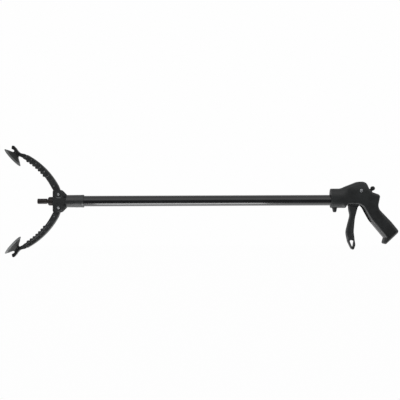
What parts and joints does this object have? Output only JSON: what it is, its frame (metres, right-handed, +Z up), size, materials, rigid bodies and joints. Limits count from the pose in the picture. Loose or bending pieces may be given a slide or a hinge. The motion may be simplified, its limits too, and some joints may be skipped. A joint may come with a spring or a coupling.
{
  "type": "reacher grabber",
  "caption": "Long-reach pick-up tool: pistol grip and trigger, straight tube, and two toothed curved jaws with suction cups around a magnet tip.",
  "frame": {"origin": "middle of the hand grip, on the handle's centre plane", "axes": "+X along the tube from the jaws to the handle, +Z up from the grip to the tube, +Y across the handle to its screwed side"},
  "size_m": [0.8134, 0.0464, 0.2316],
  "materials": {
    "handle_abs": "satin black moulded ABS",
    "trigger_nylon": "satin black glass-filled nylon",
    "control_plastic": "black moulded plastic, worn smooth",
    "tube_enamel": "gloss black enamel on drawn aluminium",
    "collar_plastic": "satin black moulded plastic",
    "head_plastic": "satin black glass-filled nylon",
    "jaw_nylon": "satin black glass-filled nylon",
    "holder_nylon": "black moulded nylon",
    "cup_rubber": "soft dark grey rubber, pale at the lip",
    "gunmetal": "brown-grey oxidised steel",
    "magnet_nickel": "nickel-plated magnet",
    "black_steel": "blacked steel",
    "bright_steel": "bright turned steel",
    "spring_steel": "oiled spring steel",
    "acetal": "natural acetal, turned and moulded"
  },
  "bodies": {
    "handle": {"handle_shell_near": "handle_abs", "handle_shell_far": "handle_abs", "handle_screws": "black_steel", "trigger_pivot_pin": "bright_steel", "latch_pin": "bright_steel", "front_bush": "acetal", "rear_bush": "acetal", "button_spring": "spring_steel"},
    "trigger": {"trigger": "trigger_nylon"},
    "latch": {"thumb_latch": "control_plastic"},
    "lock_button": {"shaft_lock_button": "control_plastic"},
    "shaft": {"shaft_tube": "tube_enamel", "retaining_ring": "acetal", "ring_grub_screws": "black_steel", "rod_guide": "acetal", "head_collar": "collar_plastic", "collar_screw": "black_steel", "head_half_near": "head_plastic", "head_half_far": "head_plastic", "head_rivets": "black_steel", "jaw_pivot_pins": "bright_steel", "front_boss": "gunmetal", "magnet_holder": "gunmetal", "magnet": "magnet_nickel", "return_spring": "spring_steel"},
    "rod": {"pull_rod": "bright_steel", "spring_collar": "spring_steel", "crosshead": "acetal", "crosshead_pins": "bright_steel", "rod_spool": "acetal"},
    "upper_jaw": {"jaw_arm_upper": "jaw_nylon", "cup_holder_upper": "holder_nylon", "cup_pin_upper": "bright_steel", "suction_cup_upper": "cup_rubber"},
    "lower_jaw": {"jaw_arm_lower": "jaw_nylon", "cup_holder_lower": "holder_nylon", "cup_pin_lower": "bright_steel", "suction_cup_lower": "cup_rubber"}
  },
  "joints": [
    {"name": "trigger_pull", "type": "hinge", "parent": "handle", "child": "trigger", "pos_m": [-0.0459, 0, 0.0694], "axis": [0, -1, 0], "range_deg": [0, 25.86], "stiffness_Nm_per_rad": 1.2, "springref_deg": -17.19},
    {"name": "rod_slide", "type": "slide", "parent": "shaft", "child": "rod", "axis": [1, 0, 0], "range_m": [0, 0.00892], "deforming": ["return_spring"]},
    {"name": "upper_jaw_close", "type": "hinge", "parent": "shaft", "child": "upper_jaw", "pos_m": [-0.6695, 0, 0.06375], "axis": [0, -1, 0], "range_deg": [0, 43.21]},
    {"name": "lower_jaw_close", "type": "hinge", "parent": "shaft", "child": "lower_jaw", "pos_m": [-0.6695, 0, 0.03625], "axis": [0, 1, 0], "range_deg": [0, 43.21]},
    {"name": "shaft_turn", "type": "hinge", "parent": "handle", "child": "shaft", "pos_m": [-0.107, 0, 0.05], "axis": [1, 0, 0], "range_deg": [0, 90]},
    {"name": "button_press", "type": "slide", "parent": "handle", "child": "lock_button", "axis": [0, 0, 1], "range_m": [0, 0.0016], "stiffness_N_per_m": 800, "springref_m": -0.001, "deforming": ["button_spring"]},
    {"name": "latch_turn", "type": "hinge", "parent": "handle", "child": "latch", "pos_m": [-0.031, 0, 0.0625], "axis": [0, -1, 0], "range_deg": [0, 22]}
  ],
  "couplings": [
    {"joint": "rod_slide", "follows": "trigger_pull", "m_per_rad": 0.019736},
    {"joint": "upper_jaw_close", "follows": "trigger_pull", "ratio": 1.6704},
    {"joint": "lower_jaw_close", "follows": "trigger_pull", "ratio": 1.6704}
  ]
}
